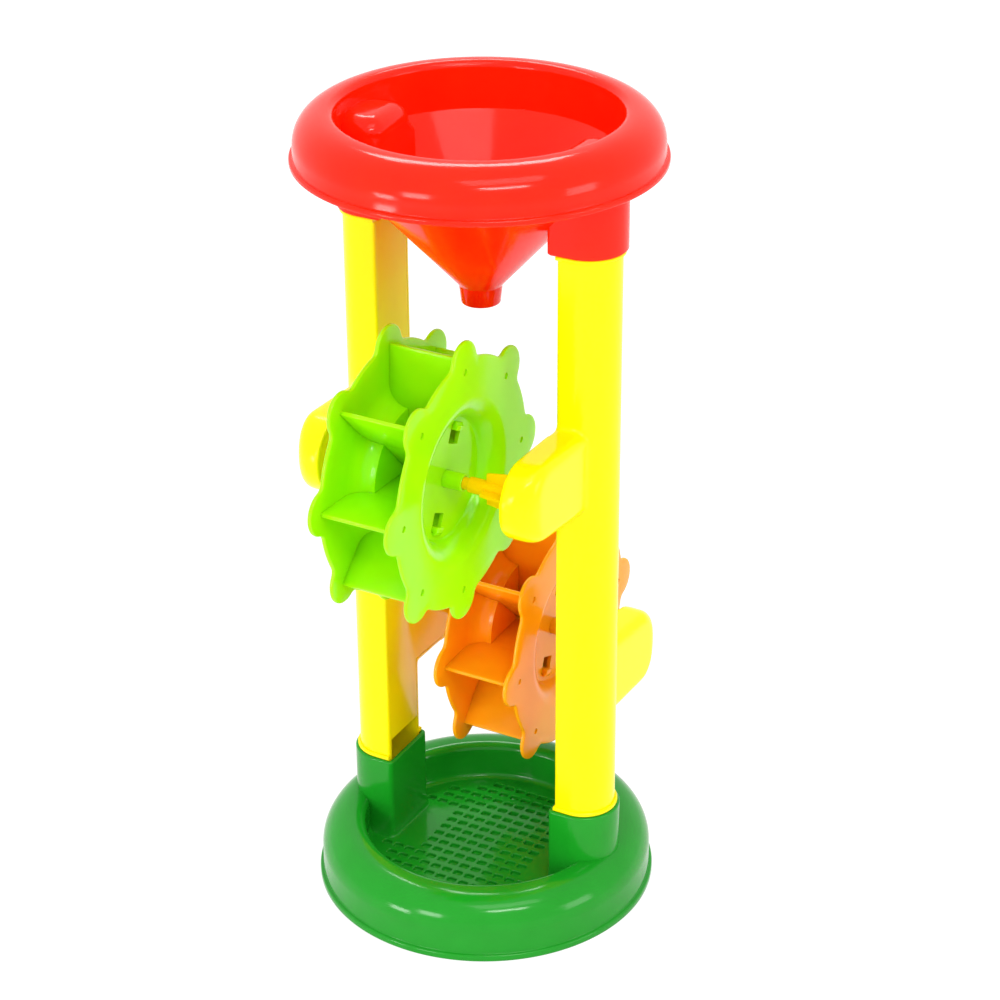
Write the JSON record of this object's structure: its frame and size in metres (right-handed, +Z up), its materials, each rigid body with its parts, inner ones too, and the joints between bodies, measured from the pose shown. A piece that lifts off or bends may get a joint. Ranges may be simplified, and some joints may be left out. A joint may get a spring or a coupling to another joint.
{
  "type": "sand wheel toy",
  "caption": "Sand wheel toy: a funnel hopper on columns above a round tray base, with bucket wheels that spin on stub pins when sand or water runs over them.",
  "frame": {"origin": "centre of the ring that the base stands on, on the ground", "axes": "+Z up through the hopper, +X from the left column to the right column and along both wheel axles, +Y away from the side on which the upper wheel stands"},
  "size_m": [0.151, 0.216, 0.3585],
  "materials": {
    "base_plastic": "injection-moulded green polypropylene, glossy, with a waffle floor",
    "hopper_plastic": "injection-moulded red polypropylene, glossy and a little translucent",
    "column_plastic": "injection-moulded yellow polypropylene, glossy",
    "cover_plastic": "injection-moulded yellow polypropylene, glossy",
    "upper_wheel_plastic": "injection-moulded lime green polypropylene, glossy and a little translucent",
    "lower_wheel_plastic": "injection-moulded orange polypropylene, glossy and a little translucent"
  },
  "bodies": {
    "frame": {"base_tray": "base_plastic", "hopper": "hopper_plastic", "left_column_shell": "column_plastic", "left_column_cover": "cover_plastic", "right_column_shell": "column_plastic", "right_column_cover": "cover_plastic"},
    "upper_wheel": {"upper_wheel_rotor": "upper_wheel_plastic", "upper_wheel_side_plate": "upper_wheel_plastic"},
    "lower_wheel": {"lower_wheel_rotor": "lower_wheel_plastic", "lower_wheel_side_plate": "lower_wheel_plastic"}
  },
  "joints": [
    {"name": "upper_wheel_spin", "type": "hinge", "parent": "frame", "child": "upper_wheel", "pos_m": [0, -0.047, 0.2185], "axis": [1, 0, 0], "continuous": true},
    {"name": "lower_wheel_spin", "type": "hinge", "parent": "frame", "child": "lower_wheel", "pos_m": [0, 0.047, 0.1015], "axis": [1, 0, 0], "continuous": true}
  ]
}
